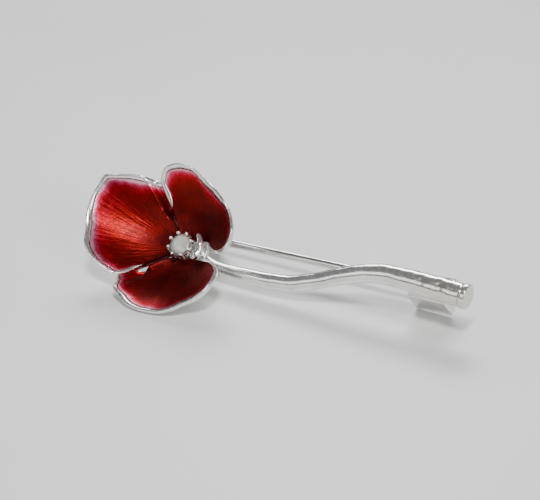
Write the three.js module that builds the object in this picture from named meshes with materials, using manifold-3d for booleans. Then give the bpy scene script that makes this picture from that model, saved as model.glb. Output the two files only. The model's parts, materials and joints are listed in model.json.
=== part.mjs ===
// Poppy brooch: three enamelled silver petals round a claw-set stone, on a long S-curved stem.
// A needle hinged behind the flower lies in a roller safety catch behind the stem's tail.
// Everything is drawn in the brooch's own frame (x along the stem to the tail, y across it,
// z out of the flower's face), then laid on a table the way the brooch comes to rest.
// Millimetres; in the finished part +Z is up.
import * as THREE from 'three';
import { mergeVertices } from 'three/addons/utils/BufferGeometryUtils.js';
import Module from 'manifold-3d';

const { degToRad, radToDeg, smoothstep, lerp, euclideanModulo } = THREE.MathUtils;

const wasm = await Module();
wasm.setup();

// Driving dimensions
const CUP_FLOOR = 2.1;          // height of the flower's inner floor above the stem's axis
const CUP_RISE = 4.1;           // from that floor up to the petal rims
const PETAL_THICKNESS = 0.75;   // measured along z
const ENAMEL_DEPTH = 0.25;
const RIM_WIDTH = 0.6;
const RIM_PROUD = 0.14;         // how far the silver rim stands above the enamel
const RIM_CREST = 0.06;         // rise of the rim's rounded top above its inner edge
const RIM_CREST_SHARE = 0.6;    // where that top lies, from the rim's inner side to its outer
const RIM_NARROW = 0.3;         // the rim's width beside the stone, as a share of RIM_WIDTH
const RIM_WIDENS = [3, 7];      // radii over which the rim grows to its full width
const STEEPEST_SLANT = 0.5;     // keeps the rim from widening where an edge runs towards the middle
const ENAMEL_EDGE_GAP = 0.04;   // share of the last ring that the enamel stops short by
const LAP_DROP = 1.1;           // how far a petal dips to pass under its neighbour
const LAP_ANGLES = [3, 11];     // degrees past the neighbour's edge over which it comes back up
const CUP_REACH = 8.3;          // radius at which the cup reaches its full height
const CUP_LOBES = [             // changes to that radius round the flower
  { towards: 166, reach: 3.7, sharpness: 4 },
  { towards: 265, reach: 1.1, sharpness: 2 },
  { towards: 30, reach: -0.9, sharpness: 2 },
];
const FIT = 0.03;               // clearance between pieces that touch
const WELD = 1e-5;              // points closer than this are one point
const OUTLINE_POINTS = 40;
const PETAL_RINGS = 4;

const PLATE_BACK = 0.68;
const PLATE_FRONT = 1.38;
const PLATE_RADIUS = 2.5;
const HINGE_PAD_RADIUS = 1.8;

const STONE_RADIUS = 1.2;
const STONE_TABLE_RADIUS = 0.72;
const STONE_GIRDLE_Z = 3.5;
const STONE_GIRDLE_HEIGHT = 0.1;
const STONE_CROWN = 0.55;
const STONE_PAVILION = 0.85;
const STONE_SIDES = 12;
const COLLET_RADIUS = 1.4;
const COLLET_FOOT_RADIUS = 0.95;
const COLLET_FOOT_TOP_Z = 2.35;
const COLLET_FLARE_TOP_Z = 2.75;
const COLLET_DIMPLE_RADIUS = 0.1;
const COLLET_SIDES = 24;
const CLAW_COUNT = 8;
const CLAW_RADIUS = 0.18;
const CLAW_RING_RADIUS = COLLET_RADIUS + CLAW_RADIUS + FIT;
const CLAW_TIP_RADIUS = 0.28;
const CLAW_TIP_Z = 4.0;
const CLAW_FOOT_Z = 2.62;
const CLAW_BEND = 0.1;          // how far a tip leans in over the stone

const COLLAR_RING_RADIUS = 2.38;
const COLLAR_THICKNESS = 0.46;  // radius of the collar's round section
const COLLAR_Z = 3.24;
const COLLAR_START = degToRad(-40);
const COLLAR_END = degToRad(46);
const COLLAR_STEPS = 10;
const COLLAR_END_TAPER = [0.55, 0.88];  // shares of the full radius at the last rings of each end
const COLLAR_FOOT_RADIUS = 0.42;
const COLLAR_FOOT = [1.98, -0.2];

const HINGE_Y = 3.75;           // the needle hinge stands this far across from the flower's middle
const NEEDLE_Z = -3.9;
const NEEDLE_LEAN = -0.065;     // radians that the needle leans towards the stem
const NEEDLE_RADIUS = 0.48;
const NEEDLE_LENGTH = 33;
const NEEDLE_START = 0.7;       // inside the eye
const NEEDLE_TAPER = 10;        // length of the ground point
const NEEDLE_TAPER_POWER = 1.3;
const NEEDLE_TAPER_STEPS = 8;
const NEEDLE_POINT_RADIUS = 0.06;
const EYE_RADIUS = 1.0;
const EYE_WIDTH = 1.12;
const RIVET_RADIUS = 0.38;
const RIVET_HEAD_RADIUS = 0.62;
const RIVET_HEAD_THICKNESS = 0.2;
const EAR_THICKNESS = 0.46;
const EAR_HALF_WIDTH = 1.25;
const EAR_CHAMFER = 0.5;
const BRACKET_BASE_THICKNESS = 0.5;
const BRACKET_END_Z = -5.5;

const CATCH_X = 29.5;           // middle of the catch, along the needle
const CATCH_LENGTH = 4.4;
const CHEEK_LENGTH = 1.4;
const CHEEK_RADIUS = 1.45;
const CHEEK_LUG_HALF_HEIGHT = 0.7;
const ROLLER_RADIUS = 1.1;
const ROLLER_END_PLAY = 0.1;    // how much shorter the roller is than the catch
const ROLLER_SLOT = 0.8;
const CATCH_MOUTH = 1.0;
const TAB_REACH = 1.85;         // from the roller's axis to the tip of its thumb tab
const TAB_TILT = degToRad(45);  // backwards from straight across
const TAB_THICKNESS = 0.7;
const TAB_LENGTH = 1.3;
const TAB_ROOT = 0.35;          // how deep the tab's root is sunk in the roller
const WEB_FAR_Y = -2.4;         // the web's outer face, from the roller's axis
const WEB_THICKNESS = 0.6;
const WEB_END_Z = -1.6;         // the foot, from the roller's axis
const SADDLE_Z = 2.42;          // the plate under the stem, from the roller's axis
const SADDLE_THICKNESS = 0.5;
const SADDLE_NEAR_Y = 0.6;
const OVERLAP = 0.1;            // how far joined pieces run into each other

const SILVER = { color: 0xd9d7d0, roughness: 0.16, metalness: 1 };
const STEEL = { color: 0xc4c3bd, roughness: 0.22, metalness: 1 };
const ENAMEL = { color: 0x8c0a12, roughness: 0.12, metalness: 0 };
const STONE = { color: 0xe9eadf, roughness: 0.08, metalness: 0 };

// Petal outlines round the flower's middle, as [degrees, radius]. seam is the angle of the
// neighbour's edge that the petal dips under, and lap the radii over which the dip begins.
const PETALS = {
  right: {
    middle: [62, 5],
    outline: [[18, 3.1], [2, 3.95], [-4, 4.9], [-4.5, 6.1], [2, 7.05], [15, 7.55], [28, 7.5], [51, 7.35],
      [72, 7.7], [90, 8.6], [105, 9.1], [114, 8.95], [120.5, 8.2], [122, 6.8], [121, 5], [121, 3],
      [112, 1.6], [80, 1.35], [45, 1.4], [24, 1.9]],
  },
  left: {
    middle: [167, 6],
    outline: [[132, 9.6], [143, 11.2], [150, 12.3], [158, 12.4], [170, 12.1], [186, 11.4], [194, 11.1],
      [206, 10], [214, 9.1], [221, 8.3], [222.5, 7.2], [220, 6], [217, 4.2], [213, 2.4], [200, 1.4],
      [165, 1.35], [135, 1.5], [122.5, 2.4], [122.5, 4], [120, 5.5], [113, 6.4], [113, 7.4], [121, 8.4]],
    seam: 122,
    lap: [3.8, 5.1],
  },
  lower: {
    middle: [272, 5.2],
    outline: [[227, 8.9], [240, 9.35], [255, 9.6], [276, 9.55], [295, 8.9], [315, 8.5], [328, 7.7],
      [336, 6.6], [339, 5.3], [337, 3.9], [330, 2.6], [315, 1.6], [280, 1.35], [242, 1.4], [225, 2.2],
      [221, 3.6], [223, 5.2], [214, 6.6], [213.5, 7.6], [219, 8.3]],
    seam: 223,
    lap: [4.4, 5.6],
  },
};

// The stem's axis from the flower to the tail, as [x, y], and its radius at some x.
const STEM_AXIS = [[-1.6, 0.05], [0, 0], [1.5, -0.2], [3.6, -0.9], [7.2, -1.4], [11.1, -1.6], [13.5, -1.5],
  [16.6, -0.7], [20.2, 0.55], [23.8, 1.2], [26.5, 1.05], [30.9, 0.5], [33.9, 0.1]];
const STEM_RADIUS = [[-1.6, 0.5], [1, 0.64], [4, 0.64], [7, 0.85], [15, 0.94], [20, 1.03], [24, 1.17],
  [27, 1.25], [31, 1.37], [34, 1.4]];
const STEM_SIDES = 12;
const STEM_STEPS = 30;
const TAIL_GROOVE_RADIUS = 1.2;
const TAIL_GROOVE_LENGTH = 0.22;
const TAIL_DISC_RADIUS = 1.46;
const TAIL_DISC_LENGTH = 0.65;
const TAIL_STEP = 0.02;         // length of the slope at each side of the groove

const NEARLY_UP = new THREE.Vector3(0.06, 0.72, 0.69);  // roughly upwards once laid down
const LAY_DOWN_ROUNDS = 20;

const ALONG_X = new THREE.Matrix4().makeBasis(
  new THREE.Vector3(0, 1, 0), new THREE.Vector3(0, 0, 1), new THREE.Vector3(1, 0, 0));
const ALONG_Y = new THREE.Matrix4().makeBasis(
  new THREE.Vector3(0, 0, 1), new THREE.Vector3(1, 0, 0), new THREE.Vector3(0, 1, 0));

const brooch = new THREE.Group();

function addPiece(name, geometry, finish, parent = brooch) {
  const mesh = new THREE.Mesh(geometry, new THREE.MeshStandardMaterial(finish));
  mesh.name = name;
  parent.add(mesh);
  return mesh;
}

// Manifold solids

function toSolid(geometry) {
  const bare = geometry.clone();
  bare.deleteAttribute('normal');
  bare.deleteAttribute('uv');
  const merged = mergeVertices(bare, WELD);
  return new wasm.Manifold(new wasm.Mesh({
    numProp: 3,
    vertProperties: new Float32Array(merged.attributes.position.array),
    triVerts: new Uint32Array(merged.index.array),
  }));
}

function toGeometry(solid) {
  const mesh = solid.getMesh();
  const geometry = new THREE.BufferGeometry();
  geometry.setAttribute('position', new THREE.BufferAttribute(mesh.vertProperties, 3));
  geometry.setIndex(new THREE.BufferAttribute(mesh.triVerts, 1));
  geometry.computeVertexNormals();
  return geometry;
}

function join(...geometries) {
  return toGeometry(geometries.map(toSolid).reduce((a, b) => a.add(b)));
}

function cut(geometry, ...tools) {
  return toGeometry(tools.map(toSolid).reduce((a, b) => a.subtract(b), toSolid(geometry)));
}

// A closed solid skinned over a stack of rings with equal point counts, from one tip to the other.
// Each four-sided patch splits along its shorter diagonal.
function skin(firstTip, rings, lastTip) {
  const count = rings[0].length;
  const points = [firstTip, ...rings.flat(), lastTip];
  const at = (ring, i) => 1 + ring * count + (i % count);
  const last = points.length - 1;
  const faces = [];
  for (let i = 0; i < count; i++) {
    faces.push(0, at(0, i), at(0, i + 1));
    for (let ring = 0; ring < rings.length - 1; ring++) {
      const [a, b, c, d] = [at(ring, i), at(ring + 1, i), at(ring + 1, i + 1), at(ring, i + 1)];
      const shorter = points[a].distanceTo(points[c]) < points[b].distanceTo(points[d]);
      faces.push(...(shorter ? [a, b, c, a, c, d] : [a, b, d, b, c, d]));
    }
    faces.push(last, at(rings.length - 1, i + 1), at(rings.length - 1, i));
  }
  const geometry = new THREE.BufferGeometry().setFromPoints(points);
  geometry.setIndex(faces);
  geometry.computeVertexNormals();
  return geometry;
}

// Flower

function polar(angle, radius) {
  return new THREE.Vector2(radius * Math.cos(degToRad(angle)), radius * Math.sin(degToRad(angle)));
}

// How far out the cup reaches its full height, which follows the petals' reach round the flower.
function cupRadius(angle) {
  return CUP_LOBES.reduce((radius, { towards, reach, sharpness }) => {
    const facing = Math.max(0, Math.cos(angle - degToRad(towards)));
    return radius + reach * facing ** sharpness;
  }, CUP_REACH);
}

// The petal's front surface, without its raised rim.
function petalHeight(petal, point) {
  const angle = Math.atan2(point.y, point.x);
  const radius = point.length();
  const dish = CUP_FLOOR + CUP_RISE * (radius / cupRadius(angle)) ** 2;
  if (petal.seam === undefined) return dish;
  const past = euclideanModulo(radToDeg(angle), 360) - petal.seam;
  return dish - LAP_DROP * (1 - smoothstep(past, ...LAP_ANGLES)) * smoothstep(radius, ...petal.lap);
}

function petalOutline(petal) {
  const knots = petal.outline.map(([angle, radius]) => polar(angle, radius));
  const curve = new THREE.CatmullRomCurve3(knots.map((p) => new THREE.Vector3(p.x, p.y, 0)), true);
  return curve.getSpacedPoints(OUTLINE_POINTS).slice(0, -1).map((p) => new THREE.Vector2(p.x, p.y));
}

// The outline moved towards the petal's middle. The silver border is wide at the rim and thin
// near the stone.
function insetOutline(petal, outline) {
  const middle = polar(...petal.middle);
  const count = outline.length;
  return outline.map((point, i) => {
    const along = outline[(i + 1) % count].clone().sub(outline[(i + count - 1) % count]).normalize();
    const inwards = middle.clone().sub(point).normalize();
    const slant = Math.max(STEEPEST_SLANT, Math.abs(along.cross(inwards)));
    const width = RIM_WIDTH * lerp(RIM_NARROW, 1, smoothstep(point.length(), ...RIM_WIDENS));
    return point.clone().addScaledVector(inwards, width / slant);
  });
}

// Rings from the petal's middle out to the given outline, on its surface moved by a height.
function dishRings(petal, outline, height) {
  const middle = polar(...petal.middle);
  const rings = [];
  for (let k = 1; k <= PETAL_RINGS; k++) {
    const ring = outline.map((point) => middle.clone().lerp(point, k / PETAL_RINGS));
    rings.push(ring.map((p) => new THREE.Vector3(p.x, p.y, petalHeight(petal, p) + height)));
  }
  return rings;
}

function dishMiddle(petal, height) {
  const middle = polar(...petal.middle);
  return new THREE.Vector3(middle.x, middle.y, petalHeight(petal, middle) + height);
}

function raise(ring, amount) {
  return ring.map((point) => point.clone().setZ(point.z + amount));
}

function petalTray(petal) {
  const outline = petalOutline(petal);
  const tray = dishRings(petal, insetOutline(petal, outline), -ENAMEL_DEPTH);
  const rimInner = raise(tray.at(-1), ENAMEL_DEPTH + RIM_PROUD);
  const back = dishRings(petal, outline, -PETAL_THICKNESS).reverse();
  const rimOuter = raise(back[0], PETAL_THICKNESS);
  const rimCrest = rimInner.map((point, i) => {
    const crest = point.clone().lerp(rimOuter[i], RIM_CREST_SHARE);
    return crest.setZ(Math.max(point.z, rimOuter[i].z) + RIM_CREST);
  });
  return skin(
    dishMiddle(petal, -ENAMEL_DEPTH),
    [...tray, rimInner, rimCrest, rimOuter, ...back],
    dishMiddle(petal, -PETAL_THICKNESS));
}

// The enamel fills the tray. Its edge stops just short of the silver border.
function petalEnamel(petal) {
  const tray = dishRings(petal, insetOutline(petal, petalOutline(petal)), -ENAMEL_DEPTH);
  const edge = tray.pop();
  tray.push(edge.map((point, i) => point.clone().lerp(tray.at(-1)[i], ENAMEL_EDGE_GAP)));
  const front = tray.map((ring) => raise(ring, ENAMEL_DEPTH));
  const back = tray.map((ring) => raise(ring, FIT)).reverse();
  return skin(dishMiddle(petal, 0), [...front, ...back], dishMiddle(petal, -ENAMEL_DEPTH + FIT));
}

function addPetals() {
  for (const [side, petal] of Object.entries(PETALS)) {
    addPiece(`petal_${side}`, petalTray(petal), SILVER);
    addPiece(`enamel_${side}`, petalEnamel(petal), ENAMEL);
  }
}

// One plate behind the petals carries the stone's collet in front and the stem and hinge behind.
function addBackPlate() {
  const disc = new THREE.CylinderGeometry(PLATE_RADIUS, PLATE_RADIUS, PLATE_FRONT - PLATE_BACK, 28);
  const pad = new THREE.CylinderGeometry(HINGE_PAD_RADIUS, HINGE_PAD_RADIUS, PLATE_FRONT - PLATE_BACK, 20);
  const middle = (PLATE_FRONT + PLATE_BACK) / 2;
  disc.rotateX(Math.PI / 2).translate(0, 0, middle);
  pad.rotateX(Math.PI / 2).translate(0, HINGE_Y, middle);
  addPiece('back_plate', join(disc, pad), SILVER);
}

// Stone and setting

function latheZ(profile, segments) {
  const points = profile.map(([radius, height]) => new THREE.Vector2(radius, height));
  return new THREE.LatheGeometry(points, segments).rotateX(Math.PI / 2);
}

function addSetting() {
  const seat = STONE_GIRDLE_Z - FIT;
  const floor = STONE_GIRDLE_Z - STONE_PAVILION - 3 * FIT;
  const foot = PLATE_FRONT + FIT;
  const collet = latheZ([[0, foot], [COLLET_FOOT_RADIUS, foot], [COLLET_FOOT_RADIUS, COLLET_FOOT_TOP_Z],
    [COLLET_RADIUS, COLLET_FLARE_TOP_Z], [COLLET_RADIUS, seat], [STONE_RADIUS, seat],
    [COLLET_DIMPLE_RADIUS, floor], [0, floor]], COLLET_SIDES);
  addPiece('collet', collet, SILVER);
  const girdle = STONE_RADIUS - FIT;
  const crown = STONE_GIRDLE_Z + STONE_GIRDLE_HEIGHT;
  const table = crown + STONE_CROWN;
  const stone = latheZ([[0, STONE_GIRDLE_Z - STONE_PAVILION], [girdle, STONE_GIRDLE_Z],
    [girdle, crown], [STONE_TABLE_RADIUS, table], [0, table]], STONE_SIDES);
  addPiece('crystal', stone, STONE);
}

function addClaws() {
  for (let i = 0; i < CLAW_COUNT; i++) {
    const post = new THREE.CylinderGeometry(CLAW_RADIUS, CLAW_RADIUS, CLAW_TIP_Z - CLAW_FOOT_Z, 8);
    post.rotateX(Math.PI / 2).translate(CLAW_RING_RADIUS, 0, (CLAW_TIP_Z + CLAW_FOOT_Z) / 2);
    const tip = new THREE.SphereGeometry(CLAW_TIP_RADIUS, 8, 6).rotateX(Math.PI / 2);
    tip.translate(CLAW_RING_RADIUS - CLAW_BEND, 0, CLAW_TIP_Z);
    const claw = join(post, tip).rotateZ(degToRad((i + 0.5) * 360 / CLAW_COUNT));
    addPiece(`claw_${i + 1}`, claw, SILVER);
  }
}

// The collar hugs the setting on the stem's side, and its foot goes down between two petals.
function addCollar() {
  const arc = new THREE.EllipseCurve(
    0, 0, COLLAR_RING_RADIUS, COLLAR_RING_RADIUS, COLLAR_START, COLLAR_END);
  const centres = arc.getPoints(COLLAR_STEPS);
  const rings = centres.map((centre, k) => {
    const outwards = new THREE.Vector3(centre.x, centre.y, 0).normalize();
    const fromEnd = Math.min(k, centres.length - 1 - k);
    const radius = COLLAR_THICKNESS * (COLLAR_END_TAPER[fromEnd] ?? 1);
    return ringAround(new THREE.Vector3(centre.x, centre.y, COLLAR_Z), outwards, radius, 10);
  });
  const band = skin(centroid(rings[0]), rings, centroid(rings.at(-1)));
  const footEnd = PLATE_FRONT + FIT;
  const foot = new THREE.CylinderGeometry(
    COLLAR_FOOT_RADIUS, COLLAR_FOOT_RADIUS, COLLAR_Z - footEnd, 12).rotateX(Math.PI / 2);
  foot.translate(...COLLAR_FOOT, (COLLAR_Z + footEnd) / 2);
  addPiece('stem_collar', join(band, foot), SILVER);
}

// Stem

// A ring of points round a centre, in the plane of a given side direction and z.
function ringAround(centre, side, radius, sides) {
  const ring = [];
  for (let i = 0; i < sides; i++) {
    const turn = (i / sides) * 2 * Math.PI;
    const point = centre.clone().addScaledVector(side, radius * Math.cos(turn));
    point.z += radius * Math.sin(turn);
    ring.push(point);
  }
  return ring;
}

function centroid(ring) {
  return ring.reduce((sum, point) => sum.add(point), new THREE.Vector3()).divideScalar(ring.length);
}

function lookUp(table, x) {
  const next = table.findIndex(([at]) => at >= x);
  if (next === 0) return table[0][1];
  if (next < 0) return table.at(-1)[1];
  const [x0, value0] = table[next - 1];
  const [x1, value1] = table[next];
  return lerp(value0, value1, (x - x0) / (x1 - x0));
}

function addStem() {
  const axis = new THREE.CatmullRomCurve3(STEM_AXIS.map(([x, y]) => new THREE.Vector3(x, y, 0)));
  const rings = [];
  const ringAt = (centre, along, radius) => {
    rings.push(ringAround(centre, new THREE.Vector3(along.y, -along.x, 0), radius, STEM_SIDES));
  };
  for (let k = 0; k <= STEM_STEPS; k++) {
    const centre = axis.getPointAt(k / STEM_STEPS);
    ringAt(centre, axis.getTangentAt(k / STEM_STEPS), lookUp(STEM_RADIUS, centre.x));
  }
  const end = axis.getPointAt(1);
  const along = axis.getTangentAt(1);
  const tail = [[TAIL_STEP, TAIL_GROOVE_RADIUS], [TAIL_GROOVE_LENGTH, TAIL_GROOVE_RADIUS],
    [TAIL_GROOVE_LENGTH + TAIL_STEP, TAIL_DISC_RADIUS],
    [TAIL_GROOVE_LENGTH + TAIL_DISC_LENGTH, TAIL_DISC_RADIUS]];
  for (const [reach, radius] of tail) {
    ringAt(end.clone().addScaledVector(along, reach), along, radius);
  }
  addPiece('stem', skin(centroid(rings[0]), rings, centroid(rings.at(-1))), SILVER);
}

// Needle hinge

function extrude(shape, depth, segments, matrix) {
  const geometry = new THREE.ExtrudeGeometry(shape, { depth, bevelEnabled: false, curveSegments: segments });
  return geometry.translate(0, 0, -depth / 2).applyMatrix4(matrix);
}

function addHingeBracket() {
  const bracketTop = PLATE_BACK - FIT;
  const halfGap = EYE_WIDTH / 2 + FIT;
  const ear = new THREE.Shape();
  ear.moveTo(bracketTop - OVERLAP, -EAR_HALF_WIDTH);
  ear.lineTo(bracketTop - OVERLAP, EAR_HALF_WIDTH);
  ear.lineTo(BRACKET_END_Z + EAR_CHAMFER, EAR_HALF_WIDTH);
  ear.lineTo(BRACKET_END_Z, EAR_HALF_WIDTH - EAR_CHAMFER);
  ear.lineTo(BRACKET_END_Z, -EAR_HALF_WIDTH + EAR_CHAMFER);
  ear.lineTo(BRACKET_END_Z + EAR_CHAMFER, -EAR_HALF_WIDTH);
  ear.closePath();
  ear.holes.push(new THREE.Path().absarc(NEEDLE_Z, 0, RIVET_RADIUS + FIT, 0, 2 * Math.PI));
  const ears = [-1, 1].map((side) => extrude(ear, EAR_THICKNESS, 10, ALONG_Y)
    .translate(0, HINGE_Y + side * (halfGap + EAR_THICKNESS / 2), 0));
  const baseWidth = 2 * (halfGap + EAR_THICKNESS);
  const base = new THREE.BoxGeometry(2 * EAR_HALF_WIDTH, baseWidth, BRACKET_BASE_THICKNESS);
  base.translate(0, HINGE_Y, bracketTop - BRACKET_BASE_THICKNESS / 2);
  addPiece('hinge_bracket', join(base, ...ears), SILVER);
}

function addHingeRivet() {
  const shank = EYE_WIDTH / 2 + FIT + EAR_THICKNESS + FIT;
  const head = shank + RIVET_HEAD_THICKNESS;
  const rivet = latheZ([[0, -head], [RIVET_HEAD_RADIUS, -head], [RIVET_HEAD_RADIUS, -shank],
    [RIVET_RADIUS, -shank], [RIVET_RADIUS, shank], [RIVET_HEAD_RADIUS, shank],
    [RIVET_HEAD_RADIUS, head], [0, head]], 20);
  addPiece('hinge_rivet', rivet.rotateX(Math.PI / 2).translate(0, HINGE_Y, NEEDLE_Z), SILVER);
}

// The hinge's frame has its origin on the rivet, which lies along y.
const hingeFrame = new THREE.Group();
hingeFrame.position.set(0, HINGE_Y, NEEDLE_Z);
brooch.add(hingeFrame);

function needleRadius(x) {
  const taper = Math.max(0, (x - NEEDLE_LENGTH + NEEDLE_TAPER) / NEEDLE_TAPER);
  return lerp(NEEDLE_RADIUS, NEEDLE_POINT_RADIUS, taper ** NEEDLE_TAPER_POWER);
}

function addNeedle() {
  const taperStart = NEEDLE_LENGTH - NEEDLE_TAPER;
  const stations = [NEEDLE_START, taperStart / 2, taperStart];
  for (let k = 1; k <= NEEDLE_TAPER_STEPS; k++) {
    stations.push(taperStart + (k / NEEDLE_TAPER_STEPS) * NEEDLE_TAPER);
  }
  const rings = stations.map((x) => ringAround(
    new THREE.Vector3(x, 0, 0), new THREE.Vector3(0, -1, 0), needleRadius(x), 12));
  const wire = skin(centroid(rings[0]), rings, centroid(rings.at(-1))).rotateZ(NEEDLE_LEAN);
  const eye = new THREE.CylinderGeometry(EYE_RADIUS, EYE_RADIUS, EYE_WIDTH, 24);
  const hole = new THREE.CylinderGeometry(RIVET_RADIUS + FIT, RIVET_RADIUS + FIT, 2 * EYE_WIDTH, 20);
  addPiece('pin_needle', cut(join(wire, eye), hole), STEEL, hingeFrame);
}

// Roller catch. Its frame has its origin in the middle of the catch and x along the needle.

const catchFrame = new THREE.Group();
catchFrame.position.set(CATCH_X * Math.cos(NEEDLE_LEAN), CATCH_X * Math.sin(NEEDLE_LEAN), 0);
catchFrame.rotation.z = NEEDLE_LEAN;
hingeFrame.add(catchFrame);

// An outline round the roller's axis that leaves a mouth of a given width open at the back.
function openRing(inner, outer, mouth) {
  const shape = new THREE.Shape();
  const outerGap = Math.asin(mouth / 2 / outer);
  const innerGap = Math.asin(mouth / 2 / inner);
  const back = -Math.PI / 2;
  shape.absarc(0, 0, outer, back + outerGap, back - outerGap + 2 * Math.PI, false);
  shape.absarc(0, 0, inner, back - innerGap + 2 * Math.PI, back + innerGap, true);
  shape.closePath();
  return shape;
}

function boxShape(y0, z0, y1, z1) {
  const shape = new THREE.Shape();
  shape.moveTo(y0, z0);
  shape.lineTo(y1, z0);
  shape.lineTo(y1, z1);
  shape.lineTo(y0, z1);
  shape.closePath();
  return shape;
}

function addCatchBase() {
  const cheek = openRing(ROLLER_RADIUS + FIT, CHEEK_RADIUS, CATCH_MOUTH);
  const cheekShift = (CATCH_LENGTH - CHEEK_LENGTH) / 2;
  const cheeks = [-1, 1].flatMap((end) => {
    const lug = boxShape(WEB_FAR_Y + WEB_THICKNESS / 2, -CHEEK_LUG_HALF_HEIGHT,
      -ROLLER_RADIUS - OVERLAP, CHEEK_LUG_HALF_HEIGHT);
    return [extrude(cheek, CHEEK_LENGTH, 12, ALONG_X), extrude(lug, CHEEK_LENGTH, 1, ALONG_X)]
      .map((piece) => piece.translate(end * cheekShift, 0, 0));
  });
  const web = boxShape(WEB_FAR_Y, WEB_END_Z, WEB_FAR_Y + WEB_THICKNESS, SADDLE_Z);
  const saddle = boxShape(WEB_FAR_Y, SADDLE_Z - SADDLE_THICKNESS, SADDLE_NEAR_Y, SADDLE_Z);
  addPiece('catch_base', join(
    extrude(web, CATCH_LENGTH, 1, ALONG_X), extrude(saddle, CATCH_LENGTH, 1, ALONG_X), ...cheeks),
  SILVER, catchFrame);
}

function addCatchRoller() {
  const barrel = extrude(new THREE.Shape().absarc(0, 0, ROLLER_RADIUS, 0, 2 * Math.PI),
    CATCH_LENGTH - ROLLER_END_PLAY, 12, ALONG_X);
  const slot = new THREE.Shape();
  slot.moveTo(-ROLLER_SLOT / 2, -2 * ROLLER_RADIUS);
  slot.lineTo(ROLLER_SLOT / 2, -2 * ROLLER_RADIUS);
  slot.absarc(0, 0, ROLLER_SLOT / 2, 0, Math.PI, false);
  slot.closePath();
  const tab = new THREE.Shape();
  tab.moveTo(ROLLER_RADIUS - TAB_ROOT, -TAB_THICKNESS / 2);
  tab.absarc(TAB_REACH - TAB_THICKNESS / 2, 0, TAB_THICKNESS / 2, -Math.PI / 2, Math.PI / 2, false);
  tab.lineTo(ROLLER_RADIUS - TAB_ROOT, TAB_THICKNESS / 2);
  tab.closePath();
  const tilted = extrude(tab, TAB_LENGTH, 6, ALONG_X).rotateX(-TAB_TILT);
  const body = join(barrel, tilted);
  addPiece('catch_roller', cut(body, extrude(slot, 2 * CATCH_LENGTH, 8, ALONG_X)), SILVER, catchFrame);
}

// Rest pose

// The brooch lies on the lowest point of each of three named pieces.
function layDown(supports) {
  brooch.updateMatrixWorld(true);
  const corners = supports.map((name) => {
    const mesh = brooch.getObjectByName(name);
    const places = mesh.geometry.attributes.position;
    return Array.from({ length: places.count }, (_, i) =>
      new THREE.Vector3().fromBufferAttribute(places, i).applyMatrix4(mesh.matrixWorld));
  });
  let up = NEARLY_UP;
  for (let round = 0; round < LAY_DOWN_ROUNDS; round++) {
    const [a, b, c] = corners.map((points) =>
      points.reduce((low, p) => (p.dot(up) < low.dot(up) ? p : low)));
    const normal = b.clone().sub(a).cross(c.clone().sub(a)).normalize();
    up = normal.dot(up) < 0 ? normal.negate() : normal;
  }
  const forward = new THREE.Vector3(1, 0, 0).addScaledVector(up, -up.x).normalize();
  const across = up.clone().cross(forward);
  const turn = new THREE.Matrix4().makeBasis(forward, across, up).transpose();
  brooch.quaternion.setFromRotationMatrix(turn);
  brooch.updateMatrixWorld(true);
  const box = new THREE.Box3().setFromObject(brooch, true);
  const middle = box.getCenter(new THREE.Vector3());
  brooch.position.set(-middle.x, -middle.y, -box.min.z);
  brooch.updateMatrixWorld(true);
}

addPetals();
addBackPlate();
addSetting();
addClaws();
addCollar();
addStem();
addHingeBracket();
addHingeRivet();
addNeedle();
addCatchBase();
addCatchRoller();
layDown(['petal_lower', 'hinge_bracket', 'catch_base']);

export default brooch;
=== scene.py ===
"""Looks for the poppy brooch: enamelled petals, claw-set stone, stem, hinged needle and roller catch.

Shapes are worked out in the brooch's own frame, in millimetres: x along the stem to the tail, y across,
z out of the flower's face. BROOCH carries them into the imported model's frame, in metres.
"""

import json
import math

import bmesh
import bpy
import numpy as np
from mathutils import Matrix, Vector


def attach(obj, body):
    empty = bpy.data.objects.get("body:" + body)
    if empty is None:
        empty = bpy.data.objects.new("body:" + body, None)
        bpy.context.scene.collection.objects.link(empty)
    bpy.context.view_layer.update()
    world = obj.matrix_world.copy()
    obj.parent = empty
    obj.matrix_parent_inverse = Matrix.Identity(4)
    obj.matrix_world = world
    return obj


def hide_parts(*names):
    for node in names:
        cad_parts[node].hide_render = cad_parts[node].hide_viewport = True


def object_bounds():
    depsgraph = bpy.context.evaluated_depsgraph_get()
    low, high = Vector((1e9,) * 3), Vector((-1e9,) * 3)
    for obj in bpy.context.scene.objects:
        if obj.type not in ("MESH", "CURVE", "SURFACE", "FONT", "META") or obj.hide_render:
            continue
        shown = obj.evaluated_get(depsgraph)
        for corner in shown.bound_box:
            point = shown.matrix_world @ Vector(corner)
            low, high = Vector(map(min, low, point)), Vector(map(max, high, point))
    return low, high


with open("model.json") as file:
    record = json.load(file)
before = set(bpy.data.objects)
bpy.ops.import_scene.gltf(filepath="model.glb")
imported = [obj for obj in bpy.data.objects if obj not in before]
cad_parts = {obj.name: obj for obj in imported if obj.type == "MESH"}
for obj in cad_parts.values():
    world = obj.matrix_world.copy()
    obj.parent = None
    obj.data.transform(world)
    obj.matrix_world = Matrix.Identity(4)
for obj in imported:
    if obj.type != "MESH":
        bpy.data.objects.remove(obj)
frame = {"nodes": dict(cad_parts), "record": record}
cad_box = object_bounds()

# ---------------------------------------------------------------- driving dimensions, as in the CAD part
CUP_FLOOR = 2.1
CUP_RISE = 4.1
CUP_REACH = 8.3
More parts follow.
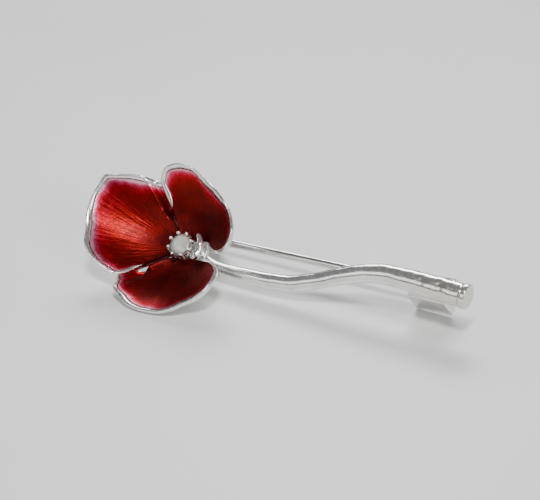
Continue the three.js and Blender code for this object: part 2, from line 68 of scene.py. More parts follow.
# Changes to CUP_REACH round the flower, as (degrees, growth, narrowness).
CUP_LOBES = [(166, 3.7, 4), (265, 1.1, 2), (30, -0.9, 2)]
PETAL_THICKNESS = 0.75
ENAMEL_DEPTH = 0.25
RIM_WIDTH = 0.6
STEEPEST_SLANT = 0.5  # keeps the rim from widening where an edge runs towards the middle
LAP_DROP = 1.1
LAP_FADE = (3, 11)  # degrees past the seam
FIT = 0.03
PLATE_BACK = 0.68
PLATE_FRONT = 1.38
PLATE_RADIUS = 2.5
HINGE_PAD_RADIUS = 1.8
STONE_GIRDLE_Z = 3.5
STONE_TOP_Z = 4.15
COLLET_RADIUS = 1.4
CLAW_COUNT = 8
COLLAR_RING_RADIUS = 2.38
COLLAR_THICKNESS = 0.46
COLLAR_Z = 3.24
COLLAR_FOOT_RADIUS = 0.42
COLLAR_FOOT_INSET = 0.4
COLLAR_FOOT_Y = -0.2
HINGE_Y = 3.75
NEEDLE_Z = -3.9
NEEDLE_LEAN = -0.065
NEEDLE_RADIUS = 0.48
NEEDLE_LENGTH = 33.0
NEEDLE_TAPER = 10.0
EYE_RADIUS = 1.0
EYE_WIDTH = 1.12
RIVET_RADIUS = 0.38
RIVET_HEAD_RADIUS = 0.62
RIVET_HEAD_THICKNESS = 0.2
EAR_THICKNESS = 0.46
CATCH_X = 29.5
CATCH_LENGTH = 4.4
CHEEK_LENGTH = 1.4
CHEEK_RADIUS = 1.45
LUG_HALF_HEIGHT = 0.7
ROLLER_RADIUS = 1.1
ROLLER_END_PLAY = 0.1
ROLLER_SLOT = 0.8
CATCH_MOUTH = 1.0
TAB_REACH = 1.85
TAB_TILT = math.radians(45)
TAB_THICKNESS = 0.7
TAB_LENGTH = 1.3
TAB_ROOT = 0.35
WEB_FAR_Y = -2.4
WEB_THICKNESS = 0.6
WEB_END_Z = -1.6
SADDLE_Z = 2.42
SADDLE_THICKNESS = 0.5
SADDLE_NEAR_Y = 0.6

# ---------------------------------------------------------------- dimensions of the finer visual meshes
RIM_PROUD = 0.17
RIM_LEAST = 0.08  # share of the width left beside the stone
RIM_WIDENS = (4.2, 7.2)
ENAMEL_SHARE = 0.995
MENISCUS_RISE = 0.07
MENISCUS_WIDTH = 0.25
SEAM_ANGLES = (122, 221)
SEAM_FADE_ANGLES = (16, 26)  # degrees to either side of a seam
SEAM_FADE_RADII = (4.9, 6.3)
STONE_RADIUS = 1.17
STONE_CULET_Z = 2.66
STONE_TABLE_RADIUS = 0.6
STONE_CROWN_RADIUS = 0.93
STONE_CROWN_Z = 3.97
STONE_GIRDLE_TOP_Z = 3.6
STONE_PAVILION_RADIUS = 0.62
STONE_PAVILION_Z = 3.03
CLAW_WIRE_RADIUS = 0.165
CLAW_BALL_GROWTH = 0.135
CLAW_BALL_PLACE = 0.93  # share of the wire's length
CLAW_BALL_SPREAD = 0.16
CLAW_END_START = 0.8
COLLAR_ANGLES = (-41, 47)
NEEDLE_TIP_RADIUS = 0.02

# Each petal's outline round the flower's middle, as (degrees, radius).
PETALS = {
    "right": {
        "middle": (62, 5),
        "outline": [(18, 3.1), (2, 3.95), (-4, 4.9), (-4.5, 6.1), (2, 7.05), (15, 7.55), (28, 7.5),
                    (51, 7.35), (72, 7.7), (90, 8.6), (105, 9.1), (114, 8.95), (120.5, 8.2), (122, 6.8),
                    (121, 5), (121, 3), (112, 1.6), (80, 1.35), (45, 1.4), (24, 1.9)],
    },
    "left": {
        "middle": (167, 6),
        "outline": [(132, 9.6), (143, 11.2), (150, 12.3), (158, 12.4), (170, 12.1), (186, 11.4),
                    (194, 11.1), (206, 10), (214, 9.1), (221, 8.3), (222.5, 7.2), (220, 6), (217, 4.2),
                    (213, 2.4), (200, 1.4), (165, 1.35), (135, 1.5), (122.5, 2.4), (122.5, 4), (120, 5.5),
                    (113, 6.4), (113, 7.4), (121, 8.4)],
        "seam": 122,
        "lap": (3.8, 5.1),
    },
    "lower": {
        "middle": (272, 5.2),
        "outline": [(227, 8.9), (240, 9.35), (255, 9.6), (276, 9.55), (295, 8.9), (315, 8.5), (328, 7.7),
                    (336, 6.6), (339, 5.3), (337, 3.9), (330, 2.6), (315, 1.6), (280, 1.35), (242, 1.4),
                    (225, 2.2), (221, 3.6), (223, 5.2), (214, 6.6), (213.5, 7.6), (219, 8.3)],
        "seam": 223,
        "lap": (4.4, 5.6),
    },
}
STEM_AXIS = [(-1.6, 0.05), (0, 0), (1.5, -0.2), (3.6, -0.9), (7.2, -1.4), (11.1, -1.6), (13.5, -1.5),
             (16.6, -0.7), (20.2, 0.55), (23.8, 1.2), (26.5, 1.05), (30.9, 0.5), (33.9, 0.1)]
STEM_RADIUS = [(-1.6, 0.5), (1, 0.64), (4, 0.64), (7, 0.85), (15, 0.94), (20, 1.03), (24, 1.17),
               (27, 1.25), (31, 1.37), (34, 1.4)]

# ---------------------------------------------------------------- fineness of the visual meshes
OUTLINE_POINTS = 168
DISH_RINGS = 16
STEM_SIDES = 48
STEM_STEPS = 240


def brooch_matrix():
    """The brooch's frame in the row's, read from the hinge joint and the hinge's flat back."""
    record = frame["record"]
    hinge = next(j for j in record["behaviour"]["joints"] if j["name"] == "needle_hinge")
    back = next(m for m in record["mounts"] if m["name"] == "hinge_back")
    z = -Vector(back["axis"]).normalized()
    x = Vector(hinge["axis"]).cross(z).normalized()
    y = z.cross(x)
    turn = Matrix((x, y, z)).transposed()
    origin = Vector(hinge["pos_m"]) - turn @ Vector((0, HINGE_Y, NEEDLE_Z)) * 0.001
    return Matrix.Translation(origin) @ turn.to_4x4() @ Matrix.Scale(0.001, 4)


BROOCH = brooch_matrix()


# ---------------------------------------------------------------- mesh helpers

def smoothstep(x, low, high):
    t = np.clip((np.asarray(x, float) - low) / (high - low), 0, 1)
    return t * t * (3 - 2 * t)


def polar(angle, radius):
    turn = math.radians(angle)
    return np.array([radius * math.cos(turn), radius * math.sin(turn)])


def centripetal(knots, count, closed):
    """Evenly spaced points on a centripetal Catmull-Rom curve through the knots."""
    knots = np.asarray(knots, float)
    if closed:
        padded = np.vstack([knots[-1:], knots, knots[:2]])
    else:
        padded = np.vstack([2 * knots[0] - knots[1], knots, 2 * knots[-1] - knots[-2]])
    dense = []
    for a, b, c, d in zip(padded, padded[1:], padded[2:], padded[3:]):
        before, here, after = (np.linalg.norm(q - p) ** 0.5 for p, q in ((a, b), (b, c), (c, d)))
        start = ((b - a) / before - (c - a) / (before + here) + (c - b) / here) * here
        end = ((c - b) / here - (d - b) / (here + after) + (d - c) / after) * here
        for t in np.arange(0, 1, 1 / 24):
            dense.append(b + start * t + (3 * (c - b) - 2 * start - end) * t ** 2
                         + (2 * (b - c) + start + end) * t ** 3)
    dense.append(dense[0] if closed else knots[-1])
    dense = np.array(dense)
    reach = np.concatenate([[0], np.cumsum(np.linalg.norm(np.diff(dense, axis=0), axis=1))])
    at = np.linspace(0, reach[-1], count, endpoint=not closed)
    return np.stack([np.interp(at, reach, dense[:, i]) for i in range(dense.shape[1])], axis=1)


def new_object(name, points, faces):
    mesh = bpy.data.meshes.new(name)
    mesh.from_pydata([tuple(p) for p in points], [], faces)
    mesh.validate()
    obj = bpy.data.objects.new(name, mesh)
    bpy.context.scene.collection.objects.link(obj)
    return obj


def applied(obj, modifiers):
    """The object's mesh with (type, settings) modifiers applied; the object is replaced by it."""
    for kind, settings in modifiers:
        modifier = obj.modifiers.new(kind.lower(), kind)
        for key, value in settings.items():
            setattr(modifier, key, value)
    graph = bpy.context.evaluated_depsgraph_get()
    mesh = bpy.data.meshes.new_from_object(obj.evaluated_get(graph), depsgraph=graph)
    obj.modifiers.clear()
    obj.data = mesh
    return obj


def combine(base, tool, operation):
    applied(base, [("BOOLEAN", {"object": tool, "operation": operation, "solver": "EXACT"})])
    bpy.data.objects.remove(tool)
    return base


def cleaned(obj):
    """Merges points that coincide, flat neighbours and slivers."""
    mesh = bmesh.new()
    mesh.from_mesh(obj.data)
    bmesh.ops.remove_doubles(mesh, verts=mesh.verts, dist=0.003)
    bmesh.ops.dissolve_degenerate(mesh, dist=0.003, edges=mesh.edges)
    bmesh.ops.dissolve_limit(mesh, angle_limit=math.radians(1), verts=mesh.verts, edges=mesh.edges)
    mesh.to_mesh(obj.data)
    mesh.free()
    return obj


def rounded(obj, width, segments=3, angle=32):
    """Rounds the sharp edges."""
    settings = {"width": width, "segments": segments, "limit_method": "ANGLE",
                "angle_limit": math.radians(angle), "harden_normals": False}
    return cleaned(applied(cleaned(obj), [("BEVEL", settings)]))


def store_where(mesh, scale=1.0):
    """Stores each point's place in millimetres, which the materials' noises are laid out by."""
    where = mesh.attributes.get("where") or mesh.attributes.new("where", "FLOAT_VECTOR", "POINT")
    flat = np.empty(len(mesh.vertices) * 3, np.float32)
    mesh.vertices.foreach_get("co", flat)
    where.data.foreach_set("vector", flat * scale)


def finish_piece(obj, body, nodes, material, place=None, sharp=None):
    """Stores brooch coordinates for the materials, moves the mesh to its place and puts it on its body."""
    mesh = obj.data
    if place is not None:
        mesh.transform(place)
    store_where(mesh)
    mesh.transform(BROOCH)
    mesh.shade_smooth()
    if sharp is not None:
        mesh.set_sharp_from_angle(angle=math.radians(sharp))
    mesh.name = obj.name
    mesh.materials.clear()
    mesh.materials.append(material)
    mesh.update()
    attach(obj, body)
    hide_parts(*nodes)
    return obj


def skin(rings, first_tip, last_tip):
    """Points and faces of a closed solid over rings of equal counts, from one tip to the other."""
    count = len(rings[0])
    points = [first_tip]
    for ring in rings:
        points.extend(ring)
    points.append(last_tip)
    faces = []
    last = len(points) - 1
    for i in range(count):
        j = (i + 1) % count
        faces.append((0, 1 + i, 1 + j))
        for k in range(len(rings) - 1):
            a, b = 1 + k * count, 1 + (k + 1) * count
            faces.append((a + i, b + i, b + j, a + j))
        a = 1 + (len(rings) - 1) * count
        faces.append((last, a + j, a + i))
    return points, faces


def lathe(name, profile, sides):
    """A solid of revolution about z. The profile is (radius, height), from axis to axis."""
    rings = []
    for radius, height in profile[1:-1]:
        turn = np.arange(sides) * 2 * math.pi / sides
        ring = np.stack([radius * np.cos(turn), radius * np.sin(turn), np.full(sides, height)], 1)
        rings.append(ring)
    points, faces = skin(rings, (0, 0, profile[0][1]), (0, 0, profile[-1][1]))
    obj = new_object(name, points, faces)
    return facing_out(obj)


def facing_out(obj):
    mesh = bmesh.new()
    mesh.from_mesh(obj.data)
    bmesh.ops.recalc_face_normals(mesh, faces=mesh.faces)
    mesh.to_mesh(obj.data)
    mesh.free()
    return obj


def prism(name, outline, length, matrix=None):
    """An outline of (y, z) points pushed along x, centred on x = 0."""
    count = len(outline)
    points = [(x, y, z) for x in (-length / 2, length / 2) for y, z in outline]
    faces = [tuple(range(count)), tuple(range(2 * count - 1, count - 1, -1))]
    faces += [(i, (i + 1) % count, count + (i + 1) % count, count + i) for i in range(count)]
    obj = facing_out(new_object(name, points, faces))
    if matrix is not None:
        obj.data.transform(matrix)
    return obj


def arc(radius, start, end, steps, centre=(0, 0)):
    return [(centre[0] + radius * math.cos(t), centre[1] + radius * math.sin(t))
            for t in np.linspace(start, end, steps)]


def set_values(obj, name, values):
    layer = obj.data.attributes.new(name, "FLOAT", "POINT")
    layer.data.foreach_set("value", np.asarray(values, np.float32))


# ---------------------------------------------------------------- materials

class Nodes:
    """Short names for building one material's node tree."""

    def __init__(self, name):
        self.material = bpy.data.materials.new(name)
        self.material.use_nodes = True
        self.tree = self.material.node_tree
        self.shader = self.tree.nodes["Principled BSDF"]

    def add(self, kind, **settings):
        node = self.tree.nodes.new("ShaderNode" + kind)
        for key, value in settings.items():
            setattr(node, key, value)
        return node

    def link(self, source, target):
        self.tree.links.new(source, target)

    def where(self, scale=(1, 1, 1)):
        source = self.add("Attribute", attribute_name="where")
        mapping = self.add("Mapping")
        mapping.inputs["Scale"].default_value = scale
        self.link(source.outputs["Vector"], mapping.inputs["Vector"])
        return mapping.outputs["Vector"]

    def value(self, name):
        return self.add("Attribute", attribute_name=name).outputs["Fac"]

    def noise(self, scale, detail=4, stretch=(1, 1, 1), roughness=0.55):
        node = self.add("TexNoise")
        node.inputs["Scale"].default_value = scale
        node.inputs["Detail"].default_value = detail
        node.inputs["Roughness"].default_value = roughness
        self.link(self.where(stretch), node.inputs["Vector"])
        return node.outputs["Fac"]

    def ramp(self, source, stops):
        node = self.add("ValToRGB")
        ramp = node.color_ramp
        while len(ramp.elements) < len(stops):
            ramp.elements.new(0.5)
        for element, (place, colour) in zip(ramp.elements, stops):
            element.position = place
            element.color = (*colour, 1)
        self.link(source, node.inputs["Fac"])
        return node.outputs["Color"]

    def spread(self, source, low, high, start=0.3, end=0.7):
        node = self.add("MapRange")
        node.inputs["From Min"].default_value = start
        node.inputs["From Max"].default_value = end
        node.inputs["To Min"].default_value = low
        node.inputs["To Max"].default_value = high
        self.link(source, node.inputs["Value"])
        return node.outputs["Result"]

    def maths(self, operation, a, b):
        node = self.add("Math", operation=operation)
        for socket, item in zip(node.inputs, (a, b)):
            if isinstance(item, (int, float)):
                socket.default_value = item
            else:
                self.link(item, socket)
        return node.outputs["Value"]

    def mix(self, amount, a, b, blend="MIX"):
        node = self.add("Mix", data_type="RGBA", blend_type=blend)
        if isinstance(amount, float):
            node.inputs["Factor"].default_value = amount
        else:
            self.link(amount, node.inputs["Factor"])
        for socket, item in ((node.inputs[6], a), (node.inputs[7], b)):
            if isinstance(item, tuple):
                socket.default_value = (*item, 1)
            else:
                self.link(item, socket)
        return node.outputs[2]

    def bump(self, height, depth_mm, strength=1.0, before=None):
        node = self.add("Bump")
        node.inputs["Strength"].default_value = strength
        node.inputs["Distance"].default_value = depth_mm * 0.001
        self.link(height, node.inputs["Height"])
        if before is not None:
            self.link(before, node.inputs["Normal"])
        return node.outputs["Normal"]


def silver(name, light, dull, roughness, lines=(1, 1, 1), dents=0.006, warm_tail=False, glazed=False):
    """Polished silver with faint tarnish, painted shade darkening its hollows, polishing lines and soft
    hand-made dents.
    """
    m = Nodes(name)
    cloud = m.noise(0.55, 5)
    colour = m.ramp(cloud, [(0.32, dull), (0.62, light)])
    if warm_tail:
        along = m.add("SeparateXYZ")
        m.link(m.where(), along.inputs["Vector"])
        tail = m.spread(along.outputs["X"], 0.0, 0.55, 22, 32)
        colour = m.mix(tail, colour, (0.80, 0.76, 0.64))
    specks = m.ramp(m.noise(9.0, 3), [(0.30, (0.80, 0.79, 0.76)), (0.42, (1, 1, 1))])
    colour = m.mix(0.35, colour, specks, "MULTIPLY")
    if glazed:
        colour = m.mix(m.value("glazed"), colour, (0.12, 0.0008, 0.0010))
    # Painted shade: darkens the colour where the surface curves inwards, in creases and hollows.
    recess_shade = m.spread(m.add("NewGeometry").outputs["Pointiness"], 0.55, 0.0, 0.40, 0.485)
    colour = m.mix(recess_shade, colour, (0.36, 0.34, 0.30))
    m.link(colour, m.shader.inputs["Base Color"])
    scratches = m.spread(m.noise(14.0, 4, (0.12, 1, 1)), -0.05, 0.07)
    worn = m.spread(m.noise(2.2, 6), roughness[0], roughness[1])
    m.link(m.maths("ADD", worn, scratches), m.shader.inputs["Roughness"])
    soft = m.bump(m.noise(1.1, 2), dents)
    fine = m.bump(m.noise(6.0, 5, lines), 0.002, 0.5, soft)
    m.link(fine, m.shader.inputs["Normal"])
    m.shader.inputs["Metallic"].default_value = 1.0
    return m.material


def enamel():
    """Translucent red enamel over engraved silver: thin and pink at the rim, deep crimson in the dish."""
    m = Nodes("red_enamel")
    patch = m.spread(m.noise(0.45, 4), -0.10, 0.10)
    grain = m.spread(m.noise(3.5, 5), -0.05, 0.05)
    thin = m.maths("ADD", m.value("thin"), m.maths("ADD", patch, grain))
    colour = m.ramp(thin, [(0.05, (0.055, 0.0004, 0.0006)), (0.40, (0.22, 0.0026, 0.0013)),
                           (0.58, (0.44, 0.003, 0.016)), (0.76, (0.68, 0.06, 0.15)),
                           (0.92, (0.90, 0.48, 0.58))])
    freckle = m.add("TexVoronoi")
    freckle.inputs["Scale"].default_value = 3.2
    m.link(m.where(), freckle.inputs["Vector"])
    dark = m.ramp(freckle.outputs["Distance"], [(0.05, (0.45, 0.40, 0.40)), (0.22, (1, 1, 1))])
    m.link(m.mix(0.45, colour, dark, "MULTIPLY"), m.shader.inputs["Base Color"])
    spokes = m.add("TexNoise")
    spokes.inputs["Scale"].default_value = 2.2
    spokes.inputs["Detail"].default_value = 3
    turn = m.add("CombineXYZ")
    m.link(m.value("spoke"), turn.inputs["X"])
    m.link(m.maths("MULTIPLY", m.value("reach"), 0.10), turn.inputs["Y"])
    m.link(turn.outputs["Vector"], spokes.inputs["Vector"])
    ribs = m.bump(spokes.outputs["Fac"], 0.10, 0.6)
    hammered = m.bump(m.noise(4.5, 4), 0.03, 0.7, ribs)
    m.link(hammered, m.shader.inputs["Normal"])
    m.link(m.spread(m.noise(1.4, 4), 0.26, 0.40), m.shader.inputs["Roughness"])
    glass = m.bump(m.noise(0.8, 2), 0.012, 0.5)
    m.link(glass, m.shader.inputs["Coat Normal"])
    m.shader.inputs["Metallic"].default_value = 0.92
    m.shader.inputs["Coat Weight"].default_value = 0.1
    m.shader.inputs["Coat Roughness"].default_value = 0.3
    m.shader.inputs["Coat IOR"].default_value = 1.38
    return m.material


def cream_stone():
    """Milky faceted stone, cream with a grey-green cast."""
    m = Nodes("cream_stone")
    colour = m.ramp(m.noise(0.9, 4), [(0.34, (0.46, 0.52, 0.43)), (0.50, (0.84, 0.84, 0.74)),
                                      (0.66, (0.97, 0.95, 0.87))])
    m.link(colour, m.shader.inputs["Base Color"])
    m.link(m.spread(m.noise(5.0, 3), 0.03, 0.12), m.shader.inputs["Roughness"])
    m.link(m.bump(m.noise(7.0, 3), 0.004, 0.4), m.shader.inputs["Normal"])
    m.shader.inputs["IOR"].default_value = 2.0
    m.shader.inputs["Transmission Weight"].default_value = 0.35
    m.shader.inputs["Coat Weight"].default_value = 1.0
    m.shader.inputs["Coat Roughness"].default_value = 0.02
    return m.material


def pale_floor():
    m = Nodes("pale_floor")
    colour = m.ramp(m.noise(0.02, 2), [(0.3, (0.80, 0.80, 0.79)), (0.7, (0.84, 0.84, 0.83))])
    m.link(colour, m.shader.inputs["Base Color"])
    m.shader.inputs["Roughness"].default_value = 0.45
    return m.material


BRIGHT = (0.93, 0.92, 0.90)
DULL = (0.78, 0.77, 0.74)
WORN_LIGHT = (0.84, 0.83, 0.80)
SILVER = silver("silver_polished", BRIGHT, DULL, (0.07, 0.20))
STEM_SILVER = silver("silver_stem", BRIGHT, DULL, (0.12, 0.26), (0.25, 2, 2), 0.008, True)
RIM_SILVER = silver("silver_petal", (0.95, 0.94, 0.93), (0.82, 0.81, 0.79), (0.14, 0.30),
                    dents=0.012, glazed=True)
BACK_SILVER = silver("silver_back", WORN_LIGHT, (0.74, 0.73, 0.70), (0.22, 0.32), (2, 0.5, 1), 0.004)
WIRE = silver("steel_wire", WORN_LIGHT, (0.66, 0.65, 0.62), (0.10, 0.22), (0.15, 4, 4), 0.006)
ENAMEL = enamel()
STONE = cream_stone()


# ---------------------------------------------------------------- flower

def cup_radius(angle):
    """The radius at which the cup reaches its full height."""
    radius = CUP_REACH
    for centre, growth, narrowness in CUP_LOBES:
        lobe = np.maximum(0, np.cos(angle - math.radians(centre)))
        radius = radius + growth * lobe ** narrowness
    return radius


def petal_height(petal, xy):
    """The front surface without its raised rim: a dish, dipping where it passes under its neighbour."""
    angle = np.arctan2(xy[:, 1], xy[:, 0])
    radius = np.hypot(xy[:, 0], xy[:, 1])
    out = radius / cup_radius(angle)
    ruffle = 0.07 * np.sin(5 * angle + 0.7) + 0.05 * np.sin(11 * angle + 2.1)
    height = CUP_FLOOR + CUP_RISE * out ** 2 + ruffle * smoothstep(out, 0.55, 1.0)
    if "seam" not in petal:
        return height
    past = np.degrees(angle) % 360 - petal["seam"]
    return height - LAP_DROP * (1 - smoothstep(past, *LAP_FADE)) * smoothstep(radius, *petal["lap"])


def petal_outlines(petal):
    """The petal's edge and the inner side of its silver border, as plan points."""
    outline = centripetal([polar(*knot) for knot in petal["outline"]], OUTLINE_POINTS, True)
    angle = np.arctan2(outline[:, 1], outline[:, 0])
    radius = np.hypot(outline[:, 0], outline[:, 1])
    wavy = 1 + smoothstep(radius, 5, 8) * (0.004 * np.sin(13 * angle) + 0.0015 * np.sin(29 * angle + 1))
    outline = outline * wavy[:, None]
    middle = polar(*petal["middle"])
    along = np.roll(outline, -1, axis=0) - np.roll(outline, 1, axis=0)
    along /= np.linalg.norm(along, axis=1)[:, None]
    inwards = middle - outline
    inwards /= np.linalg.norm(inwards, axis=1)[:, None]
    across = np.abs(along[:, 0] * inwards[:, 1] - along[:, 1] * inwards[:, 0])
    slant = np.maximum(STEEPEST_SLANT, across)
    wide = 1 + 0.14 * np.sin(6 * angle + 1.3) + 0.05 * np.sin(15 * angle)
    width = RIM_WIDTH * wide * (RIM_LEAST + (1 - RIM_LEAST) * smoothstep(radius, *RIM_WIDENS))
    return outline, outline + inwards * (width / slant)[:, None], middle


def seam_glaze(outline):
    """How far the enamel runs over the silver edge: fully along the seams, close to the stone."""
    angle = np.degrees(np.arctan2(outline[:, 1], outline[:, 0])) % 360
    radius = np.hypot(outline[:, 0], outline[:, 1])
    beside = sum(1 - smoothstep(np.abs(angle - seam), *SEAM_FADE_ANGLES) for seam in SEAM_ANGLES)
    return beside * (1 - smoothstep(radius, *SEAM_FADE_RADII))


def lifted(petal, xy, height):
    return np.column_stack([xy, petal_height(petal, xy) + height])


def dish_shares():
    """Where the rings lie between the petal's middle and its border, closer near the border."""
    return [1 - (1 - k / DISH_RINGS) ** 1.25 for k in range(1, DISH_RINGS + 1)]


# Across the silver border, as (share from its inner side to the edge, height over the enamel).
RIM_SECTION = [(0.0, 0.02), (0.05, 0.10), (0.18, RIM_PROUD), (0.40, 0.21), (0.62, 0.20), (0.82, 0.12),
               (0.95, -0.02), (1.0, -0.18), (1.0, -0.42), (0.96, -0.60), (0.86, -0.71)]


def build_petal(side, petal):
    outline, inset, middle = petal_outlines(petal)
    tray = [lifted(petal, middle + (inset - middle) * share, -ENAMEL_DEPTH) for share in dish_shares()]
    border = [lifted(petal, inset + (outline - inset) * share, height) for share, height in RIM_SECTION]
    back = [lifted(petal, middle + (inset - middle) * share, -PETAL_THICKNESS)
            for share in reversed(dish_shares())]
    rings = tray + border + back
    tips = [lifted(petal, middle[None, :], height)[0] for height in (-ENAMEL_DEPTH, -PETAL_THICKNESS)]
    obj = facing_out(new_object(f"petal_{side}_silver", *skin(rings, *tips)))
    edge = np.tile(seam_glaze(outline), len(border))
    covered = np.zeros((len(tray) + len(back)) * OUTLINE_POINTS + 2)
    start = 1 + len(tray) * OUTLINE_POINTS
    set_values(obj, "glazed", np.concatenate([covered[:start], edge, covered[start:]]))
    finish_piece(obj, "brooch", [f"petal_{side}"], RIM_SILVER, sharp=50)


def build_enamel(side, petal):
    """The enamel in a petal's tray. It stores "thin", from 0 for thick and dark to 1 for thin and pale."""
    _, inset, middle = petal_outlines(petal)
    edge = middle + (inset - middle) * ENAMEL_SHARE
    front, thin = [], []
    for share in dish_shares():
        plan = middle + (edge - middle) * share
        gap = np.linalg.norm(edge - plan, axis=1)
        front.append(lifted(petal, plan, MENISCUS_RISE * np.exp(-gap / MENISCUS_WIDTH)))
        radius = np.hypot(plan[:, 0], plan[:, 1])
        rim = np.exp(-gap / 0.6) * smoothstep(radius, 4.5, 7.5)
        thin.append(0.12 + 0.30 * smoothstep(radius, 2, 11) + 0.62 * rim)
    back = [lifted(petal, middle + (edge - middle) * share, FIT - ENAMEL_DEPTH)
            for share in reversed(dish_shares())]
    tips = [lifted(petal, middle[None, :], height)[0] for height in (0, FIT - ENAMEL_DEPTH)]
    points, faces = skin(front + back, *tips)
    obj = facing_out(new_object(f"enamel_{side}_glaze", points, faces))
    points = np.array(points)
    values = np.concatenate([[0.3], *thin, *reversed(thin), [0.3]])
    set_values(obj, "thin", values)
    turn = np.arctan2(points[:, 1], points[:, 0]) - math.radians(petal["middle"][0])
    set_values(obj, "spoke", (np.mod(turn + math.pi, 2 * math.pi) - math.pi) * 11)
    set_values(obj, "reach", np.hypot(points[:, 0], points[:, 1]))
    finish_piece(obj, "brooch", [f"enamel_{side}"], ENAMEL, sharp=50)


def build_back_plate():
    thickness = PLATE_FRONT - PLATE_BACK
    middle = Matrix.Translation((0, 0, (PLATE_FRONT + PLATE_BACK) / 2))
    to_z = middle @ Matrix.Rotation(-math.pi / 2, 4, "Y")
    disc = prism("back_plate_silver", arc(PLATE_RADIUS, 0, 2 * math.pi, 97)[:-1], thickness, to_z)
    pad = prism("pad", arc(HINGE_PAD_RADIUS, 0, 2 * math.pi, 73)[:-1], thickness,
                Matrix.Translation((0, HINGE_Y, 0)) @ to_z)
    plate = rounded(combine(disc, pad, "UNION"), 0.12, 3)
    finish_piece(plate, "brooch", ["back_plate"], BACK_SILVER, sharp=35)


# ---------------------------------------------------------------- stone and setting

def build_stone():
    def ring(count, radius, height, shift=0.0):
        return [(radius * math.cos((i + shift) * 2 * math.pi / count),
                 radius * math.sin((i + shift) * 2 * math.pi / count), height) for i in range(count)]
    points = ring(8, STONE_TABLE_RADIUS, STONE_TOP_Z) + ring(8, STONE_CROWN_RADIUS, STONE_CROWN_Z, 0.5)
    points += ring(16, STONE_RADIUS, STONE_GIRDLE_TOP_Z, 0.5) + ring(16, STONE_RADIUS, STONE_GIRDLE_Z, 0.5)
    points += ring(8, STONE_PAVILION_RADIUS, STONE_PAVILION_Z)
    points.append((0, 0, STONE_CULET_Z))
    mesh = bmesh.new()
    for point in points:
        mesh.verts.new(point)
    bmesh.ops.convex_hull(mesh, input=mesh.verts)
    obj = new_object("crystal_faceted", [], [])
    mesh.to_mesh(obj.data)
    mesh.free()
    facing_out(obj)
    finish_piece(rounded(obj, 0.012, 1, 8), "brooch", ["crystal"], STONE, sharp=6)


def build_collet():
    seat = STONE_GIRDLE_Z - FIT
    profile = [(0, 1.41), (0.90, 1.41), (0.95, 1.46), (0.95, 2.30), (1.02, 2.42), (1.34, 2.66),
               (COLLET_RADIUS, 2.78), (COLLET_RADIUS, 2.98), (1.35, 3.04), (COLLET_RADIUS, 3.10),
               (COLLET_RADIUS, seat - 0.08), (1.34, seat), (1.22, seat), (0.12, 2.60), (0, 2.56)]
    collet = lathe("collet_cup", profile, 72)
    finish_piece(collet, "brooch", ["collet"], SILVER, sharp=35)


def tube(path, radii, sides):
    """Rings round a path that nowhere points straight up."""
    path = np.asarray(path, float)
    along = np.gradient(path, axis=0)
    along /= np.linalg.norm(along, axis=1)[:, None]
    sideways = np.cross(along, (0, 0, 1.0))
    sideways /= np.linalg.norm(sideways, axis=1)[:, None]
    return rings_along(path, sideways, np.cross(sideways, along), radii, sides)


def rings_along(path, sideways, upwards, radii, sides):
    """A round ring at each point of the path, in the plane of its two directions."""
    turn = np.arange(sides) * 2 * math.pi / sides
    rings = []
    for point, side, up, radius in zip(path, sideways, upwards, radii):
        rings.append(point + radius * (np.cos(turn)[:, None] * side + np.sin(turn)[:, None] * up))
    return rings


# The claw's wire from the collet's side over the stone, as (distance from the axis, height).
CLAW_PATH = [(1.61, 2.62), (1.62, 3.1), (1.60, 3.50), (1.44, 3.82), (1.19, 3.88)]


def build_claw(index):
    """A wire claw up the collet's side, with its ball end pressed over the stone."""
    path = centripetal(CLAW_PATH, 18, False)
    reach = np.linspace(0, 1, len(path))
    radii = CLAW_WIRE_RADIUS + CLAW_BALL_GROWTH * np.exp(-((reach - CLAW_BALL_PLACE) / CLAW_BALL_SPREAD) ** 2)
    round_end = np.sqrt(np.clip(1 - ((reach - CLAW_END_START) / 0.205) ** 2, 0.05, 1))
    radii *= np.where(reach > CLAW_END_START, round_end, 1)
    turn = (index + 0.5) * 2 * math.pi / CLAW_COUNT
    outwards = np.array([math.cos(turn), math.sin(turn), 0])
    points = outwards * path[:, :1] + np.array([0, 0, 1]) * path[:, 1:]
    along = np.gradient(points, axis=0)
    along /= np.linalg.norm(along, axis=1)[:, None]
    sideways = np.tile(np.cross(outwards, (0, 0, 1)), (len(points), 1))
    rings = rings_along(points, sideways, np.cross(sideways, along), radii, 20)
    name = f"claw_{index + 1}"
    obj = facing_out(new_object(name + "_wire", *skin(rings, points[0], points[-1])))
    finish_piece(obj, "brooch", [name], SILVER, sharp=60)


def build_collar():
    """The band beside the setting, tapered at both ends, with a foot down between two petals."""
    turn = np.radians(np.linspace(*COLLAR_ANGLES, 40))
    path = np.column_stack([COLLAR_RING_RADIUS * np.cos(turn), COLLAR_RING_RADIUS * np.sin(turn),
                            COLLAR_Z + 0.05 * np.sin(9 * turn)])
    share = np.linspace(-1, 1, len(path))
    radii = COLLAR_THICKNESS * np.sqrt(np.clip(1 - share ** 6, 0.04, 1)) * (1 - 0.18 * share ** 2)
    band = facing_out(new_object("stem_collar_band", *skin(tube(path, radii, 28), path[0], path[-1])))
    foot_end = PLATE_FRONT + FIT
    profile = [(0, foot_end), (COLLAR_FOOT_RADIUS - 0.06, foot_end), (COLLAR_FOOT_RADIUS, foot_end + 0.07),
               (COLLAR_FOOT_RADIUS, 2.5), (COLLAR_FOOT_RADIUS - 0.02, COLLAR_Z), (0, COLLAR_Z)]
    foot = lathe("foot", profile, 40)
    foot.data.transform(Matrix.Translation((COLLAR_RING_RADIUS - COLLAR_FOOT_INSET, COLLAR_FOOT_Y, 0)))
    combine(band, foot, "UNION")
    finish_piece(band, "brooch", ["stem_collar"], SILVER, sharp=50)


# ---------------------------------------------------------------- stem

